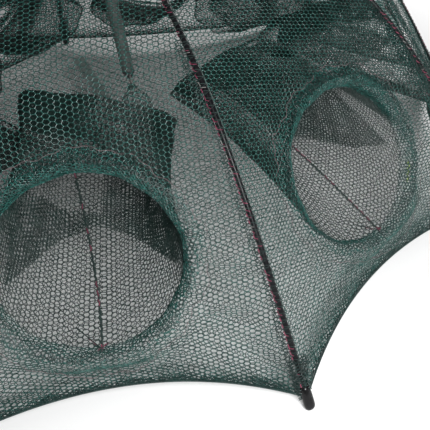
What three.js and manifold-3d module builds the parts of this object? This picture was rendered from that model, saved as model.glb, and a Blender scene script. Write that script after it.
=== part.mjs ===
// Folding crab trap of the umbrella kind, shown standing open on the ground.
// Eight bowed ribs hinge on a crown at the top and end in rubber feet. Struts from a runner on the
// centre pole hold them open. Netting panels span the ribs, each with a round entrance and a funnel,
// and eight gores close the bottom. Units are millimetres, +Z is up, the ground is z = 0.

import * as THREE from "three";
import { mergeVertices } from "three/addons/utils/BufferGeometryUtils.js";
import Module from "manifold-3d";

const wasm = await Module();
wasm.setup();

// ---- driving dimensions -------------------------------------------------------------------------

const SIDES = 8;
const HALF_SIDE = Math.PI / SIDES;
const TIP_RADIUS = 450; // axis to rib end
const TIP_HEIGHT = 12; // rib end above the ground
const PIVOT_RADIUS = 22.5; // axis to rib pivots, and to the struts' inner ends
const PIVOT_RISE = 0.795 * TIP_RADIUS; // rib pivots above the rib ends
const RIB_START_ANGLE = 0.049; // rib leaves the crown this much above level, radians
const RIB_END_ANGLE = 1.178; // rib meets the ground this steeply, radians
const RIB_BOW = 0.468; // Bezier handle as a share of the chord
const FOLD_ANGLE = THREE.MathUtils.degToRad(48); // each rib's swing from open to folded

const ROD_RADIUS = 2.4;
const EYE_RADIUS = 4.5;
const BLADE = 3; // thickness of the flat ends of ribs and struts
const BLADE_LENGTH = 24;
const WIRE_RADIUS = 1;
const WIRE_PLAY = 0.5;
const RUNNING_GAP = 0.3;

const CROWN_RADIUS = 28;
const CROWN_HALF = 8; // half height of the crown
const SLOT = 4; // slot width in crown and runner
const SLOT_FLOOR = 13.5; // axis to the bottom of a slot
const POLE_RADIUS = 7;
const POLE_WALL = 1.5;
const POLE_DROP = 214; // pole's lower end below the rib pivots
const RUNNER = { sleeve: 11, drop: 20, flange: 6 }; // sleeve radius and foot, half height of flange

const STRUT_AT = 0.16; // place of the strut bracket along the rib's curve, 0 to 1
const LUG_DROP = 15; // strut pin below the rod's centre line
const PIN_RADIUS = 1.2;
const BRACKET_WIDTH = 8;
const STRUT_HALF_WIDTH = 3.2;
const FOOT = { radius: 5.2, neck: 4.2, above: 12, below: 13, floor: 0.6 };

const HAUL_RING = { radius: 17, tube: 2, leanDegrees: 85, above: 19 }; // above: eye over the cap's base
const BAIT_BAG = { neck: 5, shoulder: 16, radius: 20, height: 95, loop: 6, cord: 1 };

const NET = 1.5; // thickness of a netting solid
const HEM_INWARD = 40; // middle of a side's hem inside the chord between two feet
const HEM_RISE = 12.7; // middle of a side's hem above the feet
const HEM_POWER = 8; // how late down a panel the hem's hollow sets in
const ENTRANCE_AT = 0.78; // entrance's centre along the rib's curve
const ENTRANCE_RADIUS = 85;
const ENTRANCE_INSET = 12; // entrance's centre inside the flat of the panel
const FUNNEL_END = { radius: 165, height: 165, halfWidth: 60, halfHeight: 16 };
const FLOOR_HEIGHT = 6; // bottom netting above the ground at the middle
const FLOOR_POWER = 10; // how late the bottom netting rises to the hems
const PATCH_RADIUS = 20;

const COLOURS = {
  netting: 0x2f5a50,
  funnel: 0x375f55,
  coated: 0x15171a,
  rubber: 0x0c0d0e,
  plastic: 0x1b1c1e,
  steel: 0x9aa0a4,
  tape: 0x1f2f2b,
};

// ---- helpers ------------------------------------------------------------------------------------

function material(name, roughness = 0.6, metalness = 0) {
  return new THREE.MeshStandardMaterial({ color: COLOURS[name], roughness, metalness });
}

// A closed three.js geometry as a solid that can be joined and cut.
function solid(geometry) {
  const bare = geometry.clone();
  bare.deleteAttribute("normal");
  bare.deleteAttribute("uv");
  const merged = mergeVertices(bare, 1e-4);
  const mesh = new wasm.Mesh({
    numProp: 3,
    vertProperties: merged.attributes.position.array,
    triVerts: new Uint32Array(merged.index.array),
  });
  return new wasm.Manifold(mesh);
}

function geometryOf(shape) {
  const mesh = shape.getMesh();
  const geometry = new THREE.BufferGeometry();
  geometry.setAttribute("position", new THREE.BufferAttribute(mesh.vertProperties, 3));
  geometry.setIndex(new THREE.BufferAttribute(mesh.triVerts, 1));
  const flat = geometry.toNonIndexed();
  flat.computeVertexNormals();
  return flat;
}

const join = (first, ...rest) => rest.reduce((all, next) => all.add(next), first);
const cut = (first, ...rest) => rest.reduce((all, next) => all.subtract(next), first);

function box(x, y, z, at = [0, 0, 0]) {
  return solid(new THREE.BoxGeometry(x, y, z).translate(...at));
}

// Cylinder along local Y.
function crossPin(radius, length, at, segments = 8) {
  const geometry = new THREE.CylinderGeometry(radius, radius, length, segments);
  return solid(geometry.translate(at.x, 0, at.z));
}

// An outline in the radial-vertical plane, as a plate that is centred on that plane.
function plate(outline, thickness) {
  const geometry = new THREE.ExtrudeGeometry(outline, {
    depth: thickness,
    bevelEnabled: false,
    curveSegments: 4,
  });
  return solid(geometry.translate(0, 0, -thickness / 2).rotateX(Math.PI / 2));
}

// Turned body from [radius, height] pairs; the profile closes on itself.
function turned(profile, segments, closed = false) {
  const points = profile.map(([radius, height]) => new THREE.Vector2(radius, height));
  if (closed) points.push(points[0].clone());
  const geometry = new THREE.LatheGeometry(points, segments).rotateX(Math.PI / 2);
  const made = solid(geometry);
  return made.volume() < 0 ? mirrored(geometry) : made;
}

function mirrored(geometry) {
  const turnedOver = geometry.clone();
  const index = turnedOver.index.array;
  for (let i = 0; i < index.length; i += 3) {
    const first = index[i];
    index[i] = index[i + 1];
    index[i + 1] = first;
  }
  return solid(turnedOver);
}

function ring(radius, tube, segments = 32, sides = 8) {
  return solid(new THREE.TorusGeometry(radius, tube, sides, segments));
}

// A bar with round ends between two points of the radial-vertical plane.
function barOutline(from, to, radius) {
  const angle = Math.atan2(to.z - from.z, to.x - from.x);
  const outline = new THREE.Shape();
  outline.absarc(from.x, from.z, radius, angle + Math.PI / 2, angle + 1.5 * Math.PI, false);
  outline.absarc(to.x, to.z, radius, angle - Math.PI / 2, angle + Math.PI / 2, false);
  outline.closePath();
  return outline;
}

// A sheet of even thickness over pointAt(u, v), with u and v from 0 to 1, as one closed solid.
function sheet(pointAt, across, along, thickness = NET) {
  const step = 1e-3;
  const positions = [];
  const index = [];
  const layer = (across + 1) * (along + 1);
  for (const side of [0.5, -0.5])
    for (let j = 0; j <= along; j++)
      for (let i = 0; i <= across; i++) {
        const u = i / across;
        const v = j / along;
        const p = pointAt(u, v);
        const du = pointAt(Math.min(u + step, 1), v).sub(pointAt(Math.max(u - step, 0), v));
        const dv = pointAt(u, Math.min(v + step, 1)).sub(pointAt(u, Math.max(v - step, 0)));
        const normal = du.cross(dv).normalize();
        p.addScaledVector(normal, side * thickness);
        positions.push(p.x, p.y, p.z);
      }
  const at = (i, j, back) => j * (across + 1) + i + (back ? layer : 0);
  const quad = (a, b, c, d) => index.push(a, b, c, a, c, d);
  for (let j = 0; j < along; j++)
    for (let i = 0; i < across; i++) {
      quad(at(i, j), at(i + 1, j), at(i + 1, j + 1), at(i, j + 1));
      quad(at(i, j, 1), at(i, j + 1, 1), at(i + 1, j + 1, 1), at(i + 1, j, 1));
    }
  for (let i = 0; i < across; i++) {
    quad(at(i, 0), at(i, 0, 1), at(i + 1, 0, 1), at(i + 1, 0));
    quad(at(i, along), at(i + 1, along), at(i + 1, along, 1), at(i, along, 1));
  }
  for (let j = 0; j < along; j++) {
    quad(at(0, j), at(0, j + 1), at(0, j + 1, 1), at(0, j, 1));
    quad(at(across, j), at(across, j, 1), at(across, j + 1, 1), at(across, j + 1));
  }
  const geometry = new THREE.BufferGeometry();
  geometry.setAttribute("position", new THREE.Float32BufferAttribute(positions, 3));
  geometry.setIndex(index);
  const made = solid(geometry);
  return made.volume() < 0 ? mirrored(geometry) : made;
}

const trap = new THREE.Group();
trap.name = "folding_crab_trap";

function add(group, name, shape, look) {
  const mesh = new THREE.Mesh(shape.isBufferGeometry ? shape : geometryOf(shape), look);
  mesh.name = name;
  group.add(mesh);
  return mesh;
}

// A group whose local +X points outward along the azimuth of one rib, or of the side after it.
function spoke(number, betweenRibs = false) {
  const group = new THREE.Group();
  group.rotation.z = -Math.PI / 2 + (number - 1) * 2 * HALF_SIDE + (betweenRibs ? HALF_SIDE : 0);
  trap.add(group);
  return group;
}

// ---- rib curve and linkage ----------------------------------------------------------------------

const pivot = new THREE.Vector3(PIVOT_RADIUS, 0, TIP_HEIGHT + PIVOT_RISE);
const tip = new THREE.Vector3(TIP_RADIUS, 0, TIP_HEIGHT);
const handle = RIB_BOW * pivot.distanceTo(tip);
const heading = (angle) => new THREE.Vector3(Math.cos(angle), 0, Math.sin(angle));
const ribCurve = new THREE.CubicBezierCurve3(
  pivot,
  pivot.clone().addScaledVector(heading(RIB_START_ANGLE), handle),
  tip.clone().addScaledVector(heading(Math.PI - RIB_END_ANGLE), handle),
  tip,
);

// The strut is as long as the stretch from rib pivot to strut pin, so its inner end stays on the
// vertical line under the rib pivot as the rib swings.
const bracketAt = ribCurve.getPoint(STRUT_AT);
const bracketWay = ribCurve.getTangent(STRUT_AT);
const underRib = new THREE.Vector3(bracketWay.z, 0, -bracketWay.x);
const strutPin = bracketAt.clone().addScaledVector(underRib, LUG_DROP);
const runnerHeight = pivot.z - 2 * (pivot.z - strutPin.z);
const strutFoot = new THREE.Vector3(PIVOT_RADIUS, 0, runnerHeight);

// ---- frame --------------------------------------------------------------------------------------

function circle(radius, segments) {
  const points = Array.from({ length: segments }, (_, i) => {
    const angle = (i / segments) * 2 * Math.PI;
    return new THREE.Vector2(radius * Math.cos(angle), radius * Math.sin(angle));
  });
  return new THREE.Shape(points);
}

// The part of the rib's curve between two of its parameters.
class RibStretch extends THREE.Curve {
  constructor(from, to) {
    super();
    this.from = from;
    this.to = to;
  }
  getPoint(share, target = new THREE.Vector3()) {
    return ribCurve.getPoint(this.from + share * (this.to - this.from), target);
  }
}

// Rod with a flat, drilled blade at the crown and a forked bracket that carries the strut's pin.
function ribShape() {
  const rod = solid(
    new THREE.ExtrudeGeometry(circle(ROD_RADIUS, 6), {
      steps: 11,
      bevelEnabled: false,
      extrudePath: new RibStretch(0.025, 0.995),
    }),
  );
  const bladeRise = BLADE_LENGTH * Math.sin(RIB_START_ANGLE) - 0.5;
  const bladeEnd = new THREE.Vector3(pivot.x + BLADE_LENGTH, 0, pivot.z + bladeRise);
  const blade = plate(barOutline(pivot, bladeEnd, EYE_RADIUS - 0.5), BLADE);
  const eye = crossPin(WIRE_RADIUS + WIRE_PLAY, BLADE + 2, pivot);
  const bracket = plate(barOutline(bracketAt, strutPin, EYE_RADIUS), BRACKET_WIDTH);
  const gapTop = bracketAt.clone().lerp(strutPin, 0.45);
  const gapEnd = strutPin.clone().lerp(bracketAt, -0.6);
  const gap = plate(barOutline(gapTop, gapEnd, EYE_RADIUS + 1), SLOT);
  const pin = crossPin(PIN_RADIUS, BRACKET_WIDTH - 1, strutPin);
  return join(cut(join(rod, blade), eye), cut(bracket, gap), pin);
}

function strutShape() {
  const bar = plate(barOutline(strutFoot, strutPin, STRUT_HALF_WIDTH), BLADE);
  const hole = crossPin(PIN_RADIUS + RUNNING_GAP, BLADE + 2, strutPin);
  return cut(bar, hole);
}

// Rubber foot over the rib's lower end, standing flat on the ground.
function footShape() {
  const { radius, neck, above, below, floor } = FOOT;
  const bore = ROD_RADIUS + RUNNING_GAP;
  const profile = [
    [bore, above],
    [neck, above],
    [radius - 0.3, above - 3],
    [radius, 4 - below],
    [neck, 1 - below],
    [0, -1 - below],
    [0, floor],
    [bore, floor],
  ];
  const way = ribCurve.getTangent(1);
  const lean = Math.atan2(way.x, -way.z);
  const sleeve = turned(profile, 10, true).rotate([0, -THREE.MathUtils.radToDeg(lean), 0]);
  const placed = sleeve.translate([tip.x, 0, tip.z]);
  const ground = box(80, 80, 20, [tip.x, 0, -10]);
  return cut(placed, ground);
}

function crownShape() {
  const top = pivot.z + CROWN_HALF;
  const bottom = pivot.z - CROWN_HALF;
  const bore = POLE_RADIUS + RUNNING_GAP;
  const profile = [
    [bore, bottom],
    [CROWN_RADIUS - 3, bottom],
    [CROWN_RADIUS, bottom + 3],
    [CROWN_RADIUS, top],
    [bore, top],
  ];
  const groove = ring(PIVOT_RADIUS, WIRE_RADIUS + WIRE_PLAY, 24, 6).translate([0, 0, pivot.z]);
  return cut(turned(profile, 24, true), groove, ...slots(pivot.z, 2 * CROWN_HALF + 2));
}

// Radial slots, one for each rib or strut.
function slots(height, tall) {
  const long = 30;
  return Array.from({ length: SIDES }, (_, i) =>
    box(long, SLOT, tall, [SLOT_FLOOR + long / 2, 0, height]).rotate([0, 0, (i * 360) / SIDES]),
  );
}

function runnerShape() {
  const bore = POLE_RADIUS + RUNNING_GAP;
  const { sleeve, drop, flange } = RUNNER;
  const profile = [
    [bore, runnerHeight - drop],
    [sleeve, runnerHeight - drop],
    [sleeve, runnerHeight - flange],
    [CROWN_RADIUS - 2, runnerHeight - flange],
    [CROWN_RADIUS, runnerHeight - flange + 2],
    [CROWN_RADIUS, runnerHeight + flange],
    [bore, runnerHeight + flange],
  ];
  return cut(turned(profile, 24, true), ...slots(runnerHeight, 2 * flange + 2));
}

function poleShape() {
  const top = pivot.z + CROWN_HALF - 0.5;
  const bottom = pivot.z - POLE_DROP;
  const inner = POLE_RADIUS - POLE_WALL;
  const profile = [
    [inner, bottom],
    [POLE_RADIUS, bottom],
    [POLE_RADIUS, top],
    [inner, top],
  ];
  return turned(profile, 24, true);
}

// A tab with a hole across it, rising or hanging from a body.
function tab(holeAt, rootAt, radius, hole, thickness) {
  const body = plate(barOutline(rootAt, holeAt, radius), thickness);
  return cut(body, crossPin(hole, thickness + 2, holeAt, 12));
}

const capBase = pivot.z + CROWN_HALF + RUNNING_GAP;
const haulHole = new THREE.Vector3(0, 0, capBase + HAUL_RING.above);

// Domed cap with an eye for the haul ring.
function hubCapShape() {
  const rim = CROWN_RADIUS + 1;
  const domeHeight = 10.5;
  const profile = [
    [0, capBase],
    [rim, capBase],
    [rim, capBase + 3],
    [rim - 4, capBase + 7],
    [rim / 2, capBase + domeHeight - 1],
    [0, capBase + domeHeight],
  ];
  const root = new THREE.Vector3(0, 0, capBase + domeHeight / 2);
  return join(turned(profile, 32, false), tab(haulHole, root, 7, HAUL_RING.tube + 1.4, 5));
}

function haulRingShape() {
  const { radius, tube, leanDegrees } = HAUL_RING;
  return ring(radius, tube, 28, 6)
    .rotate([0, 90, 0])
    .translate([0, 0, radius])
    .rotate([0, leanDegrees, 0])
    .translate([0, 0, haulHole.z]);
}

const poleEnd = pivot.z - POLE_DROP;
const baitHole = new THREE.Vector3(0, 0, poleEnd - 8);

function poleEndShape() {
  const plug = POLE_RADIUS - POLE_WALL - RUNNING_GAP;
  const head = 4;
  const depth = 12;
  const profile = [
    [0, poleEnd - head],
    [POLE_RADIUS, poleEnd - head],
    [POLE_RADIUS, poleEnd - RUNNING_GAP],
    [plug, poleEnd - RUNNING_GAP],
    [plug, poleEnd + depth],
    [0, poleEnd + depth],
  ];
  const root = new THREE.Vector3(0, 0, poleEnd - 2);
  return join(turned(profile, 20, false), tab(baitHole, root, 4.6, 2.4, 3));
}

// Mesh pouch for the bait, hung by its cord loop.
function baitBagShape() {
  const { neck, shoulder, radius, height, loop, cord } = BAIT_BAG;
  const top = baitHole.z - 2 * loop;
  const profile = [
    [0, top],
    [neck - 2, top],
    [neck, top - 0.08 * height],
    [shoulder, top - 0.23 * height],
    [radius, top - 0.5 * height],
    [shoulder + 1, top - 0.82 * height],
    [shoulder / 2, top - 0.97 * height],
    [0, top - height],
  ];
  const hanger = ring(loop, cord, 20, 6).rotate([0, 90, 0]);
  return join(turned(profile, 16, false), hanger.translate([0, 0, baitHole.z - loop]));
}

// ---- netting ------------------------------------------------------------------------------------

// How far the hem pulls a panel in and up, at share u across the side and share t down the rib.
function hemPull(u, t) {
  return 4 * u * (1 - u) * t ** HEM_POWER;
}

// A point of a side panel in the frame of its side: u across from rib to rib, t down the rib.
function panelPoint(u, t) {
  const onRib = ribCurve.getPoint(t);
  const half = onRib.x * Math.sin(HALF_SIDE);
  const pull = hemPull(u, t);
  return new THREE.Vector3(
    onRib.x * Math.cos(HALF_SIDE) - HEM_INWARD * pull,
    (2 * u - 1) * half,
    onRib.z + HEM_RISE * pull,
  );
}

// The entrance's centre, and the frame whose Z axis points out of the panel there.
const entranceTop = panelPoint(0.5, ENTRANCE_AT - 0.01);
const entranceDown = panelPoint(0.5, ENTRANCE_AT + 0.01).sub(entranceTop).normalize();
const entranceOut = new THREE.Vector3(0, 1, 0).cross(entranceDown).negate().normalize();
const flatMiddle = ribCurve.getPoint(ENTRANCE_AT);
const entranceMiddle = new THREE.Vector3(flatMiddle.x * Math.cos(HALF_SIDE), 0, flatMiddle.z);
entranceMiddle.addScaledVector(entranceOut, -ENTRANCE_INSET);

function sidePanelShape() {
  const clearOfRib = ROD_RADIUS + 2.6;
  const topAt = 0.035;
  const surface = (u, v) => {
    const t = topAt + (0.985 - topAt) * v;
    const half = ribCurve.getPoint(t).x * Math.sin(HALF_SIDE);
    const inset = clearOfRib / (2 * half * Math.cos(HALF_SIDE));
    return panelPoint(inset + (1 - 2 * inset) * u, t);
  };
  const depth = 80;
  const hole = solid(
    new THREE.CylinderGeometry(ENTRANCE_RADIUS, ENTRANCE_RADIUS, depth, 20)
      .rotateX(Math.PI / 2)
      .lookAt(entranceOut)
      .translate(...entranceMiddle.toArray()),
  );
  return cut(sheet(surface, 4, 9), hole);
}

// Funnel netting from the entrance's rim to a flattened inner mouth.
function funnelShape() {
  const around = 16;
  const along = 2;
  const rimInset = NET + 2.5;
  const surface = (u, v) => {
    const angle = u * 2 * Math.PI;
    const across = Math.cos(angle);
    const up = Math.sin(angle);
    const rimSize = ENTRANCE_RADIUS - 3;
    const rim = entranceMiddle
      .clone()
      .addScaledVector(entranceOut, -rimInset)
      .add(new THREE.Vector3(0, across * rimSize, 0))
      .addScaledVector(entranceDown, -up * rimSize);
    const mouth = new THREE.Vector3(
      FUNNEL_END.radius,
      across * FUNNEL_END.halfWidth,
      FUNNEL_END.height + up * FUNNEL_END.halfHeight,
    );
    return rim.lerp(mouth, v);
  };
  return tube(surface, around, along);
}

// A sheet that closes on itself in u: an open tube with walls.
function tube(surface, around, along) {
  const positions = [];
  const index = [];
  const rings = [];
  const thin = (p, middle, share) => p.clone().lerp(middle, share);
  for (let j = 0; j <= along; j++) {
    const loop = Array.from({ length: around }, (_, i) => surface(i / around, j / along));
    const middle = loop.reduce((sum, p) => sum.add(p), new THREE.Vector3()).divideScalar(around);
    const inner = loop.map((p) => thin(p, middle, NET / p.distanceTo(middle)));
    rings.push([loop, inner]);
  }
  const path = [...rings.map((r) => r[0]), ...rings.map((r) => r[1]).reverse()];
  for (const p of path.flat()) positions.push(p.x, p.y, p.z);
  const count = path.length;
  for (let j = 0; j < count; j++)
    for (let i = 0; i < around; i++) {
      const next = (i + 1) % around;
      const below = ((j + 1) % count) * around;
      const a = j * around + i;
      const b = j * around + next;
      // The inner wall's facets run back, so they are split the other way to stay parallel to the outer's.
      if (j < rings.length) index.push(a, b, below + next, a, below + next, below + i);
      else index.push(a, b, below + i, b, below + next, below + i);
    }
  const geometry = new THREE.BufferGeometry();
  geometry.setAttribute("position", new THREE.Float32BufferAttribute(positions, 3));
  geometry.setIndex(index);
  const made = solid(geometry);
  return made.volume() < 0 ? mirrored(geometry) : made;
}

// One gore of the bottom netting, in the frame of its rib: from the centre patch to the two half
// hems beside the rib's foot.
function gorePoint(across, outward) {
  const share = 0.495 * (2 * across - 1); // -0.5 to 0.5 along the hem, 0 at the foot
  const u = Math.abs(share);
  const side = Math.sign(share) || 1;
  const edge = panelPoint(u, 1).applyAxisAngle(new THREE.Vector3(0, 0, 1), HALF_SIDE);
  edge.y *= side;
  const clearOfFoot = 10;
  edge.multiplyScalar(1 - clearOfFoot / TIP_RADIUS);
  const angle = Math.atan2(edge.y, edge.x);
  const inner = PATCH_RADIUS + 1.5;
  const reach = THREE.MathUtils.lerp(inner, Math.hypot(edge.x, edge.y), outward);
  const height = FLOOR_HEIGHT + (edge.z - FLOOR_HEIGHT) * outward ** FLOOR_POWER;
  return new THREE.Vector3(reach * Math.cos(angle), reach * Math.sin(angle), height);
}

function patchShape() {
  const profile = [
    [0, FLOOR_HEIGHT - 1],
    [PATCH_RADIUS, FLOOR_HEIGHT - 1],
    [PATCH_RADIUS, FLOOR_HEIGHT + 1],
    [0, FLOOR_HEIGHT + 1],
  ];
  return turned(profile, 24, false);
}

// ---- zip in the rear gore -----------------------------------------------------------------------

const ZIP = { from: 140, to: 370, width: 15, base: FLOOR_HEIGHT + 2.4, thick: 1.2 };
const SLIDER = { at: ZIP.from + 12, long: 16, wide: 10, tall: 4 };
const PULL = { length: 19, width: 4, thick: 1.2 };
const sliderTop = ZIP.base + ZIP.thick + RUNNING_GAP + SLIDER.tall;
const pullPin = new THREE.Vector3(SLIDER.at - 3, 0, sliderTop + 1.6);

function zipTapeShape() {
  const long = ZIP.to - ZIP.from;
  return box(long, ZIP.width, ZIP.thick, [ZIP.from + long / 2, 0, ZIP.base + ZIP.thick / 2]);
}

function zipSliderShape() {
  const { long, wide, tall, at } = SLIDER;
  const block = box(long, wide, tall, [at, 0, sliderTop - tall / 2]);
  const root = new THREE.Vector3(pullPin.x, 0, sliderTop - 1);
  const gap = box(6, PULL.width + 1, 4, [pullPin.x, 0, sliderTop + 2.1]);
  const ears = cut(plate(barOutline(root, pullPin, 1.6), wide - 2), gap);
  return join(block, ears, crossPin(0.6, wide - 3, pullPin));
}

function zipPullShape() {
  const { length, width, thick } = PULL;
  const barrel = crossPin(1.4, width, pullPin, 10);
  const handleBar = box(length, width, thick, [pullPin.x + length / 2 + 0.5, 0, pullPin.z]);
  return cut(join(barrel, handleBar), crossPin(0.9, width + 2, pullPin));
}

// ---- assembly -----------------------------------------------------------------------------------

const coated = material("coated", 0.35, 0.6);
const plastic = material("plastic", 0.5);
const netting = material("netting", 0.8);
const funnelNet = material("funnel", 0.8);

const rib = geometryOf(ribShape());
const strut = geometryOf(strutShape());
const foot = geometryOf(footShape());
const gore = geometryOf(sheet(gorePoint, 6, 8));
const sidePanel = geometryOf(sidePanelShape());
const funnel = geometryOf(funnelShape());

for (let number = 1; number <= SIDES; number++) {
  const atRib = spoke(number);
  add(atRib, `rib_${number}`, rib, coated);
  add(atRib, `tip_cap_${number}`, foot, material("rubber", 0.3));
  add(atRib, `strut_${number}`, strut, material("steel", 0.4, 0.8));
  add(atRib, `bottom_gore_${number}`, gore, netting);
  const atSide = spoke(number, true);
  add(atSide, `side_net_${number}`, sidePanel, netting);
  add(atSide, `funnel_${number}`, funnel, funnelNet);
}

add(trap, "bottom_patch", patchShape(), netting);
add(trap, "crown", crownShape(), plastic);
const crownWire = ring(PIVOT_RADIUS, WIRE_RADIUS, 40, 5).translate([0, 0, pivot.z]);
add(trap, "crown_wire", crownWire, material("steel", 0.3, 1));
add(trap, "hub_cap", hubCapShape(), plastic);
add(trap, "haul_ring", haulRingShape(), material("steel", 0.3, 1));
add(trap, "pole", poleShape(), coated);
add(trap, "pole_end", poleEndShape(), plastic);
add(trap, "runner", runnerShape(), plastic);
add(trap, "bait_bag", baitBagShape(), material("netting", 0.9));

const rearGore = spoke(SIDES / 2 + 1);
add(rearGore, "zip_tape", zipTapeShape(), material("tape", 0.8));
add(rearGore, "zip_slider", zipSliderShape(), material("steel", 0.3, 1));
add(rearGore, "zip_pull", zipPullShape(), material("steel", 0.3, 1));

export default trap;
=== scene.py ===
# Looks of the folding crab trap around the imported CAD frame: netting, hems, entrance rims, funnels, thread,
# coated rods and rubber feet. Lengths are millimetres on the trap and metres on the stage.
import math

import bpy
import numpy as np
from mathutils import Matrix, Vector


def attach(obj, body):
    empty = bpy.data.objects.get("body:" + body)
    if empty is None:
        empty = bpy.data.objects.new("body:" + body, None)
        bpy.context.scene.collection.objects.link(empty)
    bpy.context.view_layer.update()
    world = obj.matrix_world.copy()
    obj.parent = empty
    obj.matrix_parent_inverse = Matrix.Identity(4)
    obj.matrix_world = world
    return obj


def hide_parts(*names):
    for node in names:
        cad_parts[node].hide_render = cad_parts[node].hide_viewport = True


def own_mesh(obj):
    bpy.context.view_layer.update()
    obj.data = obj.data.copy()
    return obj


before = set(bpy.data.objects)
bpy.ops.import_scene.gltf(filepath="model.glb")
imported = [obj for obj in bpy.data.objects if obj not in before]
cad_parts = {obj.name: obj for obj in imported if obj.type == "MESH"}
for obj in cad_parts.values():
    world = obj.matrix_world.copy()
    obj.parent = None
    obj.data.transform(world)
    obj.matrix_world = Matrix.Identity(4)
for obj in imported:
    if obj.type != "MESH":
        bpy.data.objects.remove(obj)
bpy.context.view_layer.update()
MM = 0.001

# ---- the CAD's own dimensions ---------------------------------------------------------------------

SIDES = 8
HALF_SIDE = math.pi / SIDES
TIP = np.array([450.0, 12.0])  # radius, height
PIVOT = np.array([22.5, 369.75])
RIB_START_ANGLE, RIB_END_ANGLE, RIB_BOW = 0.049, 1.178, 0.468
ROD_RADIUS = 2.4
HEM_INWARD, HEM_RISE, HEM_POWER = 40.0, 12.7, 8
ENTRANCE_AT, ENTRANCE_RADIUS, ENTRANCE_INSET = 0.78, 85.0, 12.0
MOUTH_RADIUS, MOUTH_HEIGHT, MOUTH_HALF_WIDTH = 165.0, 165.0, 60.0
FLOOR_HEIGHT, FLOOR_POWER, PATCH_RADIUS = 6.0, 10, 20.0
BAIT_EYE_HEIGHT, BAIT_LOOP = 147.75, 6.0
ZIP_GORE = SIDES // 2 + 1  # the floor gore with the zip, at the back
ZIP_FROM, ZIP_TO, ZIP_HALF_WIDTH = 142.0, 368.0, 5.0

# ---- netting --------------------------------------------------------------------------------------

MESH_PITCH = 5.35  # from the middle of one cell to the next
STRAND = 0.48  # strand radius
KNOT = 0.62  # thickening where strands meet
DENSE_PITCH = 4.3
DENSE_STRAND = 0.47
FUNNEL_PITCH = 3.9
FLOOR_PITCH = 6.6
FLOOR_STRAND = 0.4
STRIP_STRAND = 0.42
BAG_PITCH, BAG_STRAND = 6.5, 0.45
LATTICE_JITTER = 0.015  # how far a crossing of the netting strays, as a share of the pitch
COVERED_FROM, COVERED_TO = 0.035, 0.992  # the stretch of a rib's curve that netting and coating cover
SQUEEZE = {1: (1.0, 0.78), 8: (1.0, 0.92)}  # how far a side's cells are drawn in, across and down it
SEAM_LEAN = {8: 0.5}  # how far a side's funnel seam has crept round, radians
SEAM_PINK = {1: 0.6}  # share of a side's seam stitched in pink
MOUTH_HANGS = {8: (12, 8, 45), 1: (45, 4, 0)}  # how much higher, wider and how far aslant a mouth hangs
MOUTH_USUAL = (0, 0, 12)  # the same for the other sides
MOUTH_TILT = 20.0  # the mouth's upper lip lies this much further out than its middle
NECK_FROM = {1: 0.53}  # share of the way in from which a side's neck is doubled, on its floor
NECK_FROM_USUAL = 0.45
MOUTH_OPEN = 24.0  # half the height of the mouth between its lips
WAIST = 0.12  # how much narrower the funnel is half way along

rng = np.random.default_rng(7)


def rib_point(t):
    """Radius and height on a rib's centre line, t from 0 at the crown to 1 at the foot."""
    t = np.asarray(t, float)[..., None]
    handle = RIB_BOW * np.hypot(*(TIP - PIVOT))
    leave = PIVOT + handle * np.array([math.cos(RIB_START_ANGLE), math.sin(RIB_START_ANGLE)])
    land = TIP + handle * np.array([-math.cos(RIB_END_ANGLE), math.sin(RIB_END_ANGLE)])
    return (1 - t) ** 3 * PIVOT + 3 * t * (1 - t) ** 2 * leave + 3 * t * t * (1 - t) * land + t**3 * TIP


STEPS = np.linspace(0, 1, 801)
NUDGE = 1e-3  # step along a rib's curve for finding its direction
ON_MIDDLE = [math.cos(HALF_SIDE), 1]  # takes a rib's radius and height to the middle of a flat side
MIDDLE_PATH = rib_point(STEPS) * ON_MIDDLE
MIDDLE_LENGTH = np.concatenate([[0], np.cumsum(np.hypot(*np.diff(MIDDLE_PATH, axis=0).T))])


def t_at(s):
    """Where on a rib's curve a length down the panel's middle line falls."""
    return np.interp(s, MIDDLE_LENGTH, STEPS)


def half_width(s):
    """Half the width of a side panel between its ribs."""
    return rib_point(t_at(s))[..., 0] * math.sin(HALF_SIDE)


def panel(y, s):
    """A side panel's plain surface in the frame of its side: y across it, s down its middle line."""
    t = t_at(s)
    radius, height = np.moveaxis(rib_point(t), -1, 0)
    half = radius * math.sin(HALF_SIDE)
    u = np.clip((y / half + 1) / 2, 0, 1)
    pull = 4 * u * (1 - u) * t**HEM_POWER
    return np.stack(
        [radius * math.cos(HALF_SIDE) - HEM_INWARD * pull, y + 0 * s, height + HEM_RISE * pull], -1
    )


def outward(s):
    """The panel's outward direction half way between its ribs, at each s."""
    t = t_at(s)
    d = (rib_point(np.clip(t + NUDGE, 0, 1)) - rib_point(np.clip(t - NUDGE, 0, 1))) * ON_MIDDLE
    d /= np.hypot(d[..., 0], d[..., 1])[..., None]
    return np.stack([-d[..., 1], 0 * d[..., 0], d[..., 0]], -1)


ENTRANCE_S = float(np.interp(ENTRANCE_AT, STEPS, MIDDLE_LENGTH))
ENTRANCE_OUT = outward(np.array(ENTRANCE_S))
ENTRANCE_DOWN = np.cross(np.array([0.0, 1.0, 0.0]), ENTRANCE_OUT)
ENTRANCE_DOWN = ENTRANCE_DOWN if ENTRANCE_DOWN[2] < 0 else -ENTRANCE_DOWN
ENTRANCE_ON_FLAT = rib_point(ENTRANCE_AT) * ON_MIDDLE
ENTRANCE_MIDDLE = (
    np.array([ENTRANCE_ON_FLAT[0], 0, ENTRANCE_ON_FLAT[1]]) - ENTRANCE_INSET * ENTRANCE_OUT
)
DISH = 42.0  # how far round the entrance the panel dips to its rim
HEM_EASE = 0.08  # share of a rib's curve, at its foot, over which the slack is drawn tight
CREASES, CREASE_DEPTH, CREASE_REACH, CREASE_SPREAD = 11, 2.6, 108, 22  # creases round an entrance


def ramp(x):
    """A smooth step from 0 to 1."""
    x = np.clip(x, 0, 1)
    return x * x * (3 - 2 * x)


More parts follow.
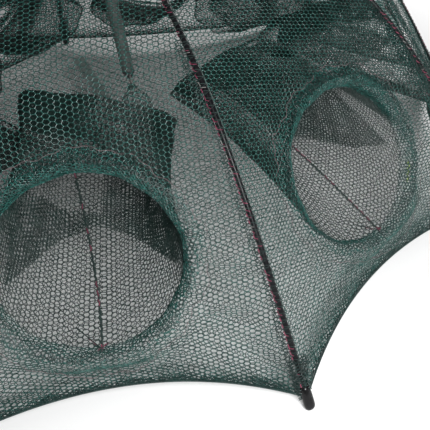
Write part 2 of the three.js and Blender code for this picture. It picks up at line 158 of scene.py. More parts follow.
def side_surface(y, s, number, lift=0.0):
    """A side panel as it hangs: dipped to the entrance's rim, with slack and creases."""
    plain = panel(y, s)
    out = outward(s)
    dy, ds = y, s - ENTRANCE_S
    reach = np.hypot(dy, ds)
    angle = np.arctan2(ds, dy)
    rim = ENTRANCE_MIDDLE + dy[..., None] * [0, 1, 0] + ds[..., None] * ENTRANCE_DOWN
    near = 1 - ramp((reach - ENTRANCE_RADIUS) / DISH)
    p = plain + (rim - plain) * near[..., None]
    t = t_at(s)
    half = half_width(s)
    free = np.clip(1 - (y / half) ** 2, 0, 1) * ramp((1 - t) / HEM_EASE)
    turn = 1.7 * number
    slack = (
        2.2 * np.sin(s / 41 + turn + y / 90)
        + 1.5 * np.sin(y / 29 - s / 75 + 2 * turn)
        + 0.8 * np.sin(y / 13 + s / 19 + turn)
    )
    fading = np.exp(-(((reach - CREASE_REACH) / CREASE_SPREAD) ** 2))
    crease = CREASE_DEPTH * np.sin(CREASES * angle + turn + 1.3 * np.sin(3 * angle)) * fading
    amount = free * (slack * (1 - near) + crease * (1 - near**4))
    return p + (amount + lift)[..., None] * out


def turned(points, angle):
    """Points turned about the trap's axis."""
    c, s = math.cos(angle), math.sin(angle)
    x, y, z = np.moveaxis(points, -1, 0)
    return np.stack([c * x - s * y, s * x + c * y, z], -1)


def rib_azimuth(number):
    return -math.pi / 2 + (number - 1) * 2 * HALF_SIDE


def side_azimuth(number):
    return rib_azimuth(number) + HALF_SIDE


# ---- lattices -------------------------------------------------------------------------------------


def honeycomb(low, high, pitch, jitter=LATTICE_JITTER):
    """Strands of a honeycomb over a rectangle: pairs of end points. One strand in three runs along x."""
    length = pitch / math.sqrt(3)
    columns = np.arange(math.floor(low[0] / (1.5 * length)) - 1, math.ceil(high[0] / (1.5 * length)) + 2)
    rows = np.arange(math.floor(low[1] / pitch) - 1, math.ceil(high[1] / pitch) + 2)
    i, j = np.meshgrid(columns, rows, indexing="ij")
    x = i * 1.5 * length
    y = (j + 0.5 * (i % 2)) * pitch
    a = np.stack([x, y], -1)
    shift = rng.normal(0, jitter * pitch, a.shape)
    b_shift = rng.normal(0, jitter * pitch, a.shape)
    a_node = a + shift
    b_node = a + [length, 0] + b_shift

    def b_at(di, dj_even, dj_odd):
        """The B node of the cell di columns away, or nothing past the edge."""
        ii = np.arange(len(columns))[:, None] + di
        jj = np.arange(len(rows))[None, :] + np.where(columns % 2 == 0, dj_even, dj_odd)[:, None]
        good = (ii >= 0) & (ii < len(columns)) & (jj >= 0) & (jj < len(rows))
        return b_node[np.clip(ii, 0, len(columns) - 1), np.clip(jj, 0, len(rows) - 1)], good

    starts, ends = [a_node.reshape(-1, 2)], [b_node.reshape(-1, 2)]
    for even, odd in ((-1, 0), (0, 1)):
        other, good = b_at(-1, even, odd)
        starts.append(a_node[good])
        ends.append(other[good])
    return np.concatenate(starts), np.concatenate(ends)


def trimmed(starts, ends, inside):
    """Only what lies inside: a strand that crosses the edge ends on it."""
    a_in, b_in = inside(starts), inside(ends)
    both = a_in & b_in
    crossing = a_in ^ b_in
    a = np.where(a_in[crossing, None], starts[crossing], ends[crossing])
    b = np.where(a_in[crossing, None], ends[crossing], starts[crossing])
    low, high = np.zeros(len(a)), np.ones(len(a))
    for _ in range(7):
        middle = (low + high) / 2
        within = inside(a + (b - a) * middle[:, None])
        low, high = np.where(within, middle, low), np.where(within, high, middle)
    cut_at = a + (b - a) * low[:, None]
    return np.concatenate([starts[both], a]), np.concatenate([ends[both], cut_at])


CORNERS = 3  # sides of a strand's prism
SHORTEST = 0.15  # shorter strands are left out


def strands(starts, ends, radius, uv=None):
    """Thin prisms between pairs of points: vertices, quads and one UV place for each vertex."""
    d = ends - starts
    length = np.linalg.norm(d, axis=1)
    keep = length > SHORTEST
    starts, ends, d, length = starts[keep], ends[keep], d[keep], length[keep]
    d /= length[:, None]
    up = np.where(np.abs(d[:, 2:3]) < 0.9, [[0.0, 0.0, 1.0]], [[1.0, 0.0, 0.0]])
    a = np.cross(d, up)
    a /= np.linalg.norm(a, axis=1)[:, None]
    b = np.cross(d, a)
    phase = rng.uniform(0, 2 * math.pi, len(d))
    thick = radius * rng.uniform(0.85, 1.15, len(d))
    rings = []
    for base, stretch in ((starts, -0.5), (ends, 0.5)):
        for k in range(CORNERS):
            turn = phase + 2 * math.pi * k / CORNERS
            rings.append(
                base
                + d * (stretch * radius)
                + a * (thick * np.cos(turn))[:, None]
                + b * (thick * np.sin(turn))[:, None]
            )
    vertices = np.stack(rings, 1).reshape(-1, 3)
    offset = np.arange(len(d))[:, None] * 2 * CORNERS
    quads = []
    for k in range(CORNERS):
        n = (k + 1) % CORNERS
        quads.append(offset + np.array([[k, n, n + CORNERS, k + CORNERS]]))
    quads = np.stack(quads, 1).reshape(-1, 4)
    if uv is not None:
        uv = np.repeat(uv[keep], 2 * CORNERS, 0)
    return vertices, quads, uv


def knots(places, radius, uv=None):
    """A small octahedron at each place where strands meet."""
    axes = np.array([[1, 0, 0], [-1, 0, 0], [0, 1, 0], [0, -1, 0], [0, 0, 1], [0, 0, -1]], float)
    faces = np.array(
        [[0, 2, 4], [2, 1, 4], [1, 3, 4], [3, 0, 4], [2, 0, 5], [1, 2, 5], [3, 1, 5], [0, 3, 5]]
    )
    size = radius * rng.uniform(0.8, 1.2, len(places))
    vertices = (places[:, None] + size[:, None, None] * axes[None]).reshape(-1, 3)
    triangles = (np.arange(len(places))[:, None, None] * 6 + faces[None]).reshape(-1, 3)
    return vertices, triangles, None if uv is None else np.repeat(uv, 6, 0)


def netting(low, high, pitch, jitter, inside, place, radius, uv):
    """Netting on a surface, as a part for mesh_piece: `place` takes the flat lattice's points into space."""
    starts, ends = trimmed(*honeycomb(low, high, pitch, jitter), inside)
    return (*strands(place(starts), place(ends), radius, uv(starts)), 0)


def mesh_piece(name, parts, materials, body, squash_rib=None, replaces=()):
    """One named piece from (vertices in mm, faces, uv or None, material index) parts.

    With squash_rib it gets a mesh of its own.
    """
    vertices, loops, starts, totals, indices, uvs = [], [], [], [], [], []
    base = loop_base = 0
    with_uv = all(part[2] is not None for part in parts)
    for points, faces, uv, index in parts:
        vertices.append(points * MM)
        count, size = faces.shape
        loops.append((faces + base).ravel())
        starts.append(loop_base + np.arange(count) * size)
        totals.append(np.full(count, size))
        indices.append(np.full(count, index))
        if with_uv:
            uvs.append(uv[faces.ravel()])
        base += len(points)
        loop_base += count * size
    data = bpy.data.meshes.new(name)
    vertices, loops = np.concatenate(vertices), np.concatenate(loops)
    starts, totals = np.concatenate(starts), np.concatenate(totals)
    data.vertices.add(len(vertices))
    data.vertices.foreach_set("co", vertices.astype(np.float32).ravel())
    data.loops.add(len(loops))
    data.loops.foreach_set("vertex_index", loops.astype(np.int32))
    data.polygons.add(len(starts))
    data.polygons.foreach_set("loop_start", starts.astype(np.int32))
    data.polygons.foreach_set("loop_total", totals.astype(np.int32))
    data.polygons.foreach_set("material_index", np.concatenate(indices).astype(np.int32))
    data.update(calc_edges=True)
    if with_uv:
        layer = data.uv_layers.new(name="OFBake")
        layer.data.foreach_set("uv", np.concatenate(uvs).astype(np.float32).ravel())
    data.polygons.foreach_set("use_smooth", np.full(len(starts), True))
    for material in materials:
        data.materials.append(material)
    piece = bpy.data.objects.new(name, data)
    bpy.context.scene.collection.objects.link(piece)
    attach(piece, body)
    if replaces:
        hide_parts(*replaces)
    if squash_rib is not None:
        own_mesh(piece)
    return piece


def tube(path, radius, sides=8, closed=False, index=0):
    """A round cord or rod along a path of points, with flat ends."""
    path = np.asarray(path, float)
    ahead = np.roll(path, -1, 0) if closed else np.concatenate([path[1:], path[-1:]])
    behind = np.roll(path, 1, 0) if closed else np.concatenate([path[:1], path[:-1]])
    d = ahead - behind
    d /= np.linalg.norm(d, axis=1)[:, None]
    up = np.where(np.abs(d[:, 2:3]) < 0.95, [[0.0, 0.0, 1.0]], [[1.0, 0.0, 0.0]])
    a = np.cross(d, up)
    for k in range(1, len(a)):
        if a[k] @ a[k - 1] < 0:
            a[k] = -a[k]
    a /= np.linalg.norm(a, axis=1)[:, None]
    b = np.cross(d, a)
    turn = 2 * math.pi * np.arange(sides) / sides
    radius = np.broadcast_to(np.asarray(radius, float), len(path))
    rings = path[:, None] + radius[:, None, None] * (
        a[:, None] * np.cos(turn)[None, :, None] + b[:, None] * np.sin(turn)[None, :, None]
    )
    n = len(path)
    quads = []
    for j in range(n if closed else n - 1):
        for k in range(sides):
            nk, nj = (k + 1) % sides, (j + 1) % n
            quads.append([j * sides + k, j * sides + nk, nj * sides + nk, nj * sides + k])
    return rings.reshape(-1, 3), np.array(quads), None, index


# ---- materials ------------------------------------------------------------------------------------


def material(name, colours, roughness, grain, bump=0.0, metallic=0.0, weave=None, specular=0.5):
    """A Principled finish whose colour, roughness and bump vary by noise in object space."""
    made = bpy.data.materials.new(name)
    made.use_nodes = True
    nodes, links = made.node_tree.nodes, made.node_tree.links
    shader = nodes["Principled BSDF"]
    place = nodes.new("ShaderNodeTexCoord")
    wide = nodes.new("ShaderNodeTexNoise")
    wide.inputs["Scale"].default_value = grain
    wide.inputs["Detail"].default_value = 4
    links.new(place.outputs["Object"], wide.inputs["Vector"])
    blend = nodes.new("ShaderNodeValToRGB")
    blend.color_ramp.elements[0].position = 0.32
    blend.color_ramp.elements[1].position = 0.68
    blend.color_ramp.elements[0].color = (*colours[0], 1)
    blend.color_ramp.elements[1].color = (*colours[1], 1)
    links.new(wide.outputs["Fac"], blend.inputs["Fac"])
    links.new(blend.outputs["Color"], shader.inputs["Base Color"])
    rough = nodes.new("ShaderNodeMapRange")
    rough.inputs["To Min"].default_value = roughness[0]
    rough.inputs["To Max"].default_value = roughness[1]
    links.new(wide.outputs["Fac"], rough.inputs["Value"])
    links.new(rough.outputs["Result"], shader.inputs["Roughness"])
    shader.inputs["Metallic"].default_value = metallic
    shader.inputs["Specular IOR Level"].default_value = specular
    if bump:
        if weave:
            fine = nodes.new("ShaderNodeTexWave")
            fine.inputs["Scale"].default_value = weave
            fine.inputs["Distortion"].default_value = 1.5
            links.new(place.outputs["Object"], fine.inputs["Vector"])
            height = fine.outputs["Fac"]
        else:
            fine = nodes.new("ShaderNodeTexNoise")
            fine.inputs["Scale"].default_value = grain * 14
            links.new(place.outputs["Object"], fine.inputs["Vector"])
            height = fine.outputs["Fac"]
        lift = nodes.new("ShaderNodeBump")
        lift.inputs["Strength"].default_value = bump
        lift.inputs["Distance"].default_value = 0.0004
        links.new(height, lift.inputs["Height"])
        links.new(lift.outputs["Normal"], shader.inputs["Normal"])
    return made


def thread(name, dark, light, grain=300):
    """The finish of a twisted thread."""
    return material(name, (dark, light), (0.5, 0.7), grain, bump=0.6, weave=900)


NETTING = material("netting_green", ((0.005, 0.03, 0.025), (0.013, 0.062, 0.053)), (0.2, 0.34), 60)
# The knots' lighter colour is a painted highlight: it stands in for the glints on the crossings.
NETTING_KNOT_GLINT = material("netting_knots_painted_glint", ((0.028, 0.1, 0.085), (0.075, 0.21, 0.182)), (0.12, 0.25), 60)
FUNNEL_NETTING = material("funnel_green", ((0.003, 0.012, 0.01), (0.008, 0.026, 0.022)), (0.25, 0.4), 60)
HEM = material("hem_teal", ((0.003, 0.013, 0.012), (0.008, 0.03, 0.026)), (0.25, 0.4), 90)
RIM = material("rim_teal", ((0.002, 0.018, 0.0155), (0.022, 0.11, 0.094)), (0.15, 0.32), 260)
BAIT = material("bait_green", ((0.01, 0.04, 0.034), (0.025, 0.08, 0.07)), (0.4, 0.6), 80)
THREAD_PINK = thread("thread_pink", (0.12, 0.012, 0.035), (0.34, 0.06, 0.12))
THREAD_FADED = thread("thread_faded", (0.06, 0.055, 0.055), (0.2, 0.14, 0.15))
THREAD_PALE = thread("thread_pale", (0.12, 0.12, 0.115), (0.3, 0.295, 0.28))
THREAD_DARK = thread("thread_dark", (0.005, 0.014, 0.013), (0.014, 0.035, 0.03), 200)
THREAD_LIME = thread("thread_lime", (0.35, 0.45, 0.08), (0.5, 0.6, 0.15))
SELVAGE = material(
    "selvage_cord", ((0.03, 0.06, 0.055), (0.12, 0.16, 0.15)), (0.4, 0.6), 300, bump=0.6, weave=900
)
ROD = material(
    "rod_coating", ((0.003, 0.003, 0.004), (0.008, 0.008, 0.009)), (0.22, 0.34), 40, bump=0.06, specular=0.13
)
POLE = material("pole_grey", ((0.04, 0.05, 0.047), (0.07, 0.082, 0.078)), (0.45, 0.6), 60, bump=0.1)
RUBBER = material(
    "foot_rubber", ((0.003, 0.003, 0.003), (0.008, 0.008, 0.009)), (0.16, 0.3), 120, bump=0.1, specular=0.2
)
PLASTIC = material("hub_plastic", ((0.014, 0.015, 0.017), (0.03, 0.031, 0.034)), (0.35, 0.55), 90, bump=0.4)
STEEL = material(
    "dull_steel", ((0.38, 0.39, 0.4), (0.6, 0.61, 0.62)), (0.25, 0.45), 120, bump=0.3, metallic=1.0
)
TAPE = material(
    "zip_tape_weave", ((0.26, 0.32, 0.3), (0.38, 0.45, 0.43)), (0.7, 0.9), 200, bump=0.8, weave=1400
)

# ---- side panels ----------------------------------------------------------------------------------
# Each panel is split down its middle, and each half moves with the rib beside it.

TOP_S = float(np.interp(COVERED_FROM, STEPS, MIDDLE_LENGTH))
HEM_S = float(MIDDLE_LENGTH[-1])
HEM_HALF_WIDTH = half_width(HEM_S)
CLEAR_OF_ROD = (ROD_RADIUS + 0.8) / math.cos(HALF_SIDE)
OWN_RIB, NEXT_RIB = -1, 1  # the half by the side's own rib, and the half by the next one


def half_piece(name, number, hand, parts, materials, replaces=()):
    """A piece of one half of a side: it rides on that half's rib."""
    rib = number if hand == OWN_RIB else number % SIDES + 1
    letter = "a" if hand == OWN_RIB else "b"
    mesh_piece(f"{name}_{number}{letter}", parts, materials, f"rib_{rib}", rib, replaces)


def on_panel(p, number, lift=0.0):
    """A side's panel in space, from places on it unrolled: across from its middle, and down it."""
    return turned(side_surface(p[:, 0], p[:, 1], number, lift), side_azimuth(number))


def panel_uv(p):
    return np.stack([0.5 + p[:, 0] / 400, p[:, 1] / (HEM_S + 1)], 1)


def on_half(p, hand):
    """Whether places on the unrolled panel are on one half of it, clear of the rod."""
    y = p[:, 0] * hand
    return (y > 0) & (y < half_width(p[:, 1]) - CLEAR_OF_ROD)


def half_box(hand):
    """The corners of a box round one half of the unrolled panel."""
    if hand == OWN_RIB:
        return np.array([-HEM_HALF_WIDTH, TOP_S]), np.array([0, HEM_S])
    return np.array([0, TOP_S]), np.array([HEM_HALF_WIDTH, HEM_S])


def side_netting(number, hand):
    def inside(p):
        s = p[:, 1]
        beside_entrance = np.hypot(p[:, 0], s - ENTRANCE_S) > ENTRANCE_RADIUS + 4
        return on_half(p, hand) & (s > TOP_S) & (s < HEM_S) & beside_entrance

    low, high = half_box(hand)
    squeeze = np.array(SQUEEZE.get(number, (1.0, 1.0)))
    lattice = honeycomb(low / squeeze, high / squeeze, MESH_PITCH)
    starts, ends = trimmed(*[end * squeeze for end in lattice], inside)
    crossings = np.unique(np.round(np.concatenate([starts, ends]), 3), axis=0)
    parts = [
        (*strands(on_panel(starts, number), on_panel(ends, number), STRAND, panel_uv(starts)), 0),
        # The knots take the lighter finish, a painted highlight on the crossings.
        (*knots(on_panel(crossings, number), KNOT, panel_uv(crossings)), 1),
    ]
    replaces = (f"side_net_{number}",) if hand == OWN_RIB else ()
    half_piece("side_netting", number, hand, parts, [NETTING, NETTING_KNOT_GLINT], replaces)


HEM_LAYERS = ((7.0, 3.6), (11.0, DENSE_PITCH), (24.0, MESH_PITCH))  # width and pitch, outermost first


def hem(number, hand):
    """The panel's last stretch doubled under, with a cord in its edge."""
    low, high = half_box(hand)
    parts = []
    for layer, (width, pitch) in enumerate(HEM_LAYERS):

        def in_layer(p):
            ragged = width + 1.5 * np.sin(p[:, 0] / 9 + layer)
            return on_half(p, hand) & (p[:, 1] > HEM_S - ragged) & (p[:, 1] < HEM_S)

        starts, ends = trimmed(*honeycomb((low[0], HEM_S - 30), high, pitch, 0.05), in_layer)
        lift = 0.9 - 1.3 * layer
        from_points, to_points = on_panel(starts, number, lift), on_panel(ends, number, lift + 0.3)
        parts.append((*strands(from_points, to_points, DENSE_STRAND, panel_uv(starts)), 0))
    half_piece("hem", number, hand, parts, [HEM])

    across = np.linspace(0, hand * (HEM_HALF_WIDTH - 4), 60)
    edge = on_panel(np.stack([across, np.full(60, HEM_S)], 1), number)
    half_piece("hem_cord", number, hand, [tube(edge, 1.3)], [HEM])


# ---- entrance rims --------------------------------------------------------------------------------

# The rolled collar's profile: how far along it, out from the entrance's middle, and out of the panel.
COLLAR_ALONG = np.array([0, 8, 15, 22, 29, 38.0])
COLLAR_REACH = np.array([103, 96, 89, 83, 80.5, 80.5])
COLLAR_DEPTH = np.array([1.5, 4.5, 6.0, 3.0, -3, -12.0])
COLLAR_WIDTH = COLLAR_ALONG[-1]
QUARTER_RIM = ENTRANCE_RADIUS * math.pi / 2
# The middle layer takes the dark hem finish: painted shade that darkens the collar.
RIM_LAYERS = ((DENSE_PITCH, 0), (3.7, 1), (3.2, 0))  # pitch and material of each layer


def rim_start(hand):
    return QUARTER_RIM if hand == OWN_RIB else -QUARTER_RIM


def collar(p, number, lift=0.0):
    """A soft rolled collar in space: p is along the rim, at its radius, and across the profile."""
    angle = p[:, 0] / ENTRANCE_RADIUS
    uneven = 1.6 * np.sin(5 * angle + number) + 1.0 * np.sin(13 * angle + 2 * number)
    reach = np.interp(p[:, 1], COLLAR_ALONG, COLLAR_REACH) + lift
    reach = reach + uneven * (1 - p[:, 1] / 60)
    depth = np.interp(p[:, 1], COLLAR_ALONG, COLLAR_DEPTH) + lift
    point = (
        ENTRANCE_MIDDLE
        + (reach * np.cos(angle))[:, None] * [0, 1, 0]
        + (reach * np.sin(angle))[:, None] * ENTRANCE_DOWN
        + depth[:, None] * ENTRANCE_OUT
    )
    return turned(point, side_azimuth(number))


def entrance_rim(number, hand):
    """Netting gathered into a collar, full over the top of the entrance and thinner under it."""
    start, stop = rim_start(hand), rim_start(hand) + 2 * QUARTER_RIM
    parts = []
    for layer, (pitch, index) in enumerate(RIM_LAYERS):

        def in_layer(p):
            under = np.sin(p[:, 0] / ENTRANCE_RADIUS)
            outer_edge = 7 + 5 * under + 2.5 * np.sin(p[:, 0] / 17 + layer) + 6 * layer
            inner_edge = 37 - layer * 7 * ramp(under + 0.5)
            return (p[:, 0] > start) & (p[:, 0] < stop) & (p[:, 1] > outer_edge) & (p[:, 1] < inner_edge)

        starts, ends = trimmed(*honeycomb((start, 0), (stop, COLLAR_WIDTH), pitch, 0.08), in_layer)
        lift = 1.0 * layer - 0.5
        uv = np.stack([0.5 + starts[:, 0] / 1200, starts[:, 1] / COLLAR_WIDTH], 1)
        bars = strands(collar(starts, number, lift), collar(ends, number, lift), DENSE_STRAND, uv)
        parts.append((*bars, index))
    # The hem finish on the middle layer is painted shade over the collar.
    half_piece("entrance_rim", number, hand, parts, [RIM, HEM])


def rim_thread(number, hand):
    """Thread that draws the collar in along its outer edge, and one bright stitch beside a rib."""
    start, stop = rim_start(hand) + 3, rim_start(hand) + 2 * QUARTER_RIM - 3
    along = np.linspace(start, stop, 120)
    ripple = 2 + 1.6 * np.sin(along / 6.0) + 1.2 * np.sin(along / 2.3)
    bits = [tube(collar(np.stack([along, ripple], 1), number, 0.9), 0.27, 5)]
    if number == 1 and hand == NEXT_RIB:
        along = ENTRANCE_RADIUS * np.radians(np.linspace(28, 44, 14))
        stitch = np.stack([along, 27 + 1.5 * np.sin(np.arange(14) * 1.7)], 1)
        bits.append(tube(collar(stitch, number, 1.6), 0.7, 5, index=1))
    half_piece("rim_thread", number, hand, bits, [THREAD_FADED, THREAD_LIME])


# ---- funnels --------------------------------------------------------------------------------------
# From the rim to a flattened mouth held open inside the trap. Unrolled, a funnel is a rectangle: round it,
# where 0 is the side towards the next rib, and in along it.

ROUND, DEEP = 380.0, 200.0
# Where the netting parts: degrees round and half a width of them, share of the way in and half a length.
PARTINGS = ((60, 15, 0.61, 0.1), (62, 13, 0.93, 0.035))
# How far in the doubling starts: over the roof by degrees round, under the floor by depth below the middle.
ROOF_ROUND, ROOF_FROM = [45, 80, 110, 160, 180], [0, 0.28, 0.35, 0.8, 0.9]
NECK_BELOW, NECK_STARTS = [0, 0.2, 0.35, 0.7, 1], [0.55, 0.25, 0.08, 0.27]
NECK_TO = {OWN_RIB: 0.5, NEXT_RIB: 0.86}
SEAM_POINTS = 90


def funnel_start(hand):
    return ROUND / 4 if hand == OWN_RIB else -ROUND / 4


def funnel(p, number, lift=0.0):
    """A funnel in space, from places on it unrolled."""
    rise, widen, aslant = MOUTH_HANGS.get(number, MOUTH_USUAL)
    angle = p[:, 0] / ROUND * 2 * math.pi
    v = p[:, 1] / DEEP
    rim = (
        ENTRANCE_MIDDLE
        - 8 * ENTRANCE_OUT
        + (80 * np.cos(angle))[:, None] * [0, 1, 0]
        - (80 * np.sin(angle))[:, None] * ENTRANCE_DOWN
    )
    mouth_middle = np.array([MOUTH_RADIUS, 0, MOUTH_HEIGHT + rise])
    mouth = np.stack(
        [
            MOUTH_RADIUS + MOUTH_TILT * np.sin(angle),
            (MOUTH_HALF_WIDTH + widen) * np.cos(angle),
            mouth_middle[2] + aslant * (1 - np.cos(angle)) / 2 + MOUTH_OPEN * np.sin(angle),
        ],
        -1,
    )
    point = rim + (mouth - rim) * v[:, None]
    sag = -9 * np.sin(math.pi * v) * (1 + 0.3 * np.sin(3 * angle + number))
    fold = 2.2 * np.sin(7 * angle + 2 * number) * ramp(v * 1.5)
    point[:, 2] -= sag
    point[:, 1] *= 1 - WAIST * np.sin(math.pi * v)
    radial = point - (ENTRANCE_MIDDLE + (mouth_middle - ENTRANCE_MIDDLE) * v[:, None])
    radial /= np.linalg.norm(radial, axis=1)[:, None]
    return turned(point + (fold + lift)[:, None] * radial, side_azimuth(number))


def funnel_uv(p):
    return np.stack([0.5 + p[:, 0] / 1200, p[:, 1] / DEEP], 1)


def funnel_netting(number, hand):
    start = funnel_start(hand)

    def in_funnel(p):
        degrees, v = p[:, 0] / ROUND * 360, p[:, 1] / DEEP
        parted = np.zeros(len(p), bool)
        for middle, half_turn, depth, half_length in PARTINGS:
            parted |= np.hypot((degrees - middle) / half_turn, (v - depth) / half_length) < 1
        return (p[:, 0] > start) & (p[:, 0] < start + ROUND / 2) & (v > 0) & (v < 1) & ~parted

    def in_roof(p):
        degrees, v = p[:, 0] / ROUND * 360, p[:, 1] / DEEP
        doubled = v > np.interp(degrees, ROOF_ROUND, ROOF_FROM)
        return in_funnel(p) & (degrees > 3) & (degrees < 177) & doubled

    def in_neck(p):
        below, v = -np.sin(p[:, 0] / ROUND * 2 * math.pi), p[:, 1] / DEEP
        starts = [*NECK_STARTS, NECK_FROM.get(number, NECK_FROM_USUAL)]
        doubled = (v > np.interp(below, NECK_BELOW, starts)) & (v < NECK_TO[hand])
        return in_funnel(p) & (below >= 0) & doubled

    layers = (
        (FUNNEL_PITCH, in_funnel, 0), (3.6, in_roof, 1.6), (3.2, in_roof, 3.0),
        (3.8, in_neck, 1.4), (3.4, in_neck, -1.4),
    )
    parts = [
        netting(
            (start, 0), (start + ROUND / 2, DEEP), pitch, 0.04, inside,
            lambda p, lift=lift: funnel(p, number, lift), STRAND, funnel_uv,
        )
        for pitch, inside, lift in layers
    ]
    replaces = (f"funnel_{number}",) if hand == OWN_RIB else ()
    half_piece("funnel_netting", number, hand, parts, [FUNNEL_NETTING], replaces)


def funnel_seam(number):
    """Seam along a funnel's floor, with a tuft of thread at the entrance and a short seam beside it."""
    v = np.linspace(0.0, 1.0, SEAM_POINTS)
    at = -ROUND / 4 - SEAM_LEAN.get(number, 0.0) * ROUND / (2 * math.pi) * ramp(v)
    zigzag = 0.5 * np.sin(np.arange(SEAM_POINTS) * 2.4)
    seam = funnel(np.stack([at + zigzag, v * DEEP], 1), number, 0.6)
    bits = [tube(seam, 1.05, 6, index=1)]
    for k in range(4, SEAM_POINTS - 4, 3):
        if rng.random() < SEAM_PINK.get(number, 0.2):
            bits.append(tube(seam[k : k + 3] + [0, 0, 1.0], 0.4, 5))
    tuft = seam[0]
    for _ in range(7):
        away = rng.normal(0, 3.0, 3)
        bits.append(tube(np.array([tuft, tuft + away * 0.6 + [0, 0, 1.2], tuft + away]), 0.5, 5))
    branch = np.stack([at[:14] - np.linspace(0, 15, 14), np.linspace(0, 0.075, 14) * DEEP], 1)
    bits.append(tube(funnel(branch, number, 0.8), 0.5, 5, index=1))
    bits.append(tube(funnel(branch[3:8], number, 1.3), 0.45, 5))
    threads = [THREAD_PINK, THREAD_DARK]
    mesh_piece(f"funnel_seam_{number}", bits, threads, f"rib_{number}", number)


def mouth_cord(number, hand):
    around = np.linspace(funnel_start(hand), funnel_start(hand) + ROUND / 2, 24)
    edge = funnel(np.stack([around, np.full(24, DEEP)], 1), number)
    half_piece("mouth_cord", number, hand, [tube(edge, 0.9)], [THREAD_DARK])


for number in range(1, SIDES + 1):
    for hand in (OWN_RIB, NEXT_RIB):
        side_netting(number, hand)
        hem(number, hand)
        entrance_rim(number, hand)
        funnel_netting(number, hand)
        if hand == OWN_RIB:
            funnel_seam(number)
        rim_thread(number, hand)
        mouth_cord(number, hand)

# ---- bottom netting -------------------------------------------------------------------------------

HEM_U = np.linspace(0, 0.5, 200)  # from a foot to the middle of a side's hem
HEM_EDGE = turned(
    np.stack(
        [
            TIP[0] * math.cos(HALF_SIDE) - HEM_INWARD * 4 * HEM_U * (1 - HEM_U),
            (2 * HEM_U - 1) * TIP[0] * math.sin(HALF_SIDE),
            0 * HEM_U,
        ],
        -1,
    ),
    HALF_SIDE,
)
HEM_EDGE_ANGLE = np.arctan2(HEM_EDGE[:, 1], HEM_EDGE[:, 0])
HEM_EDGE_REACH = np.hypot(HEM_EDGE[:, 0], HEM_EDGE[:, 1])


def edge_reach(angle):
    """How far the hem is from the axis, at an angle from a rib."""
    return np.interp(np.abs(angle), HEM_EDGE_ANGLE, HEM_EDGE_REACH)


def hem_share(angle):
    """How far along towards its highest the hem has risen, at an angle from a rib."""
    u = np.interp(np.abs(angle), HEM_EDGE_ANGLE, HEM_U)
    return 4 * u * (1 - u)


def floor_point(p, number):
    """The bottom netting in space: p is a plan position in its rib's frame, outward and across."""
    reach = np.hypot(p[:, 0], p[:, 1])
    angle = np.arctan2(p[:, 1], p[:, 0])
    share = np.clip(reach / edge_reach(angle), 0, 1)
    rise = HEM_RISE * hem_share(angle) + TIP[1] - FLOOR_HEIGHT
    wave = 1.2 * np.sin(p[:, 0] / 23 + number) * np.sin(p[:, 1] / 31) * (1 - share**4)
    height = FLOOR_HEIGHT + rise * share**FLOOR_POWER + wave
    return turned(np.stack([p[:, 0], p[:, 1], height], -1), rib_azimuth(number))


def bottom_netting(number):
    def in_gore(p):
        angle = np.arctan2(p[:, 1], p[:, 0])
        reach = np.hypot(p[:, 0], p[:, 1])
        in_zip = (np.abs(p[:, 1]) < ZIP_HALF_WIDTH) & (p[:, 0] > ZIP_FROM) & (p[:, 0] < ZIP_TO)
        in_zip &= number == ZIP_GORE
        round_patch = (reach > PATCH_RADIUS - 3) & (reach < edge_reach(angle) - 4)
        return (np.abs(angle) < HALF_SIDE) & round_patch & ~in_zip

    gore = netting(
        (0, -190), (TIP[0], 190), FLOOR_PITCH, LATTICE_JITTER, in_gore, lambda p: floor_point(p, number),
        FLOOR_STRAND, lambda p: np.stack([p[:, 0] / 460, 0.5 + p[:, 1] / 400], 1),
    )
    mesh_piece(
        f"bottom_netting_{number}", [gore], [NETTING], f"gore_{number}", number,
        (f"bottom_gore_{number}",),
    )


for number in range(1, SIDES + 1):
    bottom_netting(number)

# ---- rods and feet --------------------------------------------------------------------------------

# The rubber foot's profile: along the rib from its end, and its radius there.
FOOT_ALONG = np.array([-12, -11.5, -9, -2, 5, 9, 11.2, 12.6, 13.4, 13.9])
FOOT_RADIUS = np.array([3.2, 4.2, 4.9, 5.2, 5.25, 5.2, 4.7, 3.6, 2.2, 0.4])


def rod_coating(number):
    t = np.linspace(COVERED_FROM, COVERED_TO, 90)
    line = rib_point(t)
    path = turned(np.stack([line[:, 0], 0 * t, line[:, 1]], -1), rib_azimuth(number))
    rod = tube(path, ROD_RADIUS + 0.12, 16)
    mesh_piece(f"rod_coating_{number}", [rod], [ROD], f"rib_{number}")


def rubber_foot(number):
    """Smooth, with a rounded nose, standing on a small flat."""
    way = np.array([math.cos(RIB_END_ANGLE), 0, -math.sin(RIB_END_ANGLE)])
    end = np.array([TIP[0], 0, TIP[1]])
    path = turned(end + FOOT_ALONG[:, None] * way, rib_azimuth(number))
    foot = tube(path, FOOT_RADIUS, 28)
    foot[0][:, 2] = np.maximum(foot[0][:, 2], 0)
    mesh_piece(
        f"rubber_foot_{number}", [foot], [RUBBER], f"rib_{number}",
        replaces=(f"tip_cap_{number}",),
    )


for number in range(1, SIDES + 1):
    rod_coating(number)
    rubber_foot(number)

# ---- thread and doubled netting along the ribs ----------------------------------------------------

RIB_PATH = rib_point(STEPS)
RIB_LENGTH = np.concatenate([[0], np.cumsum(np.hypot(*np.diff(RIB_PATH, axis=0).T))])
RIB_END = RIB_LENGTH[-1]
STITCH = 6.8
LACING_RADIUS = ROD_RADIUS + 0.55
PINK, PALE, DARK, CORD = range(4)
LACING_THREADS = [THREAD_PINK, THREAD_PALE, THREAD_DARK, SELVAGE]
STRIP_FROM = 260  # down the rib
CORNER_HALF_ROUND, CORNER_LONG = 15, 34  # the netting round the foot, unrolled


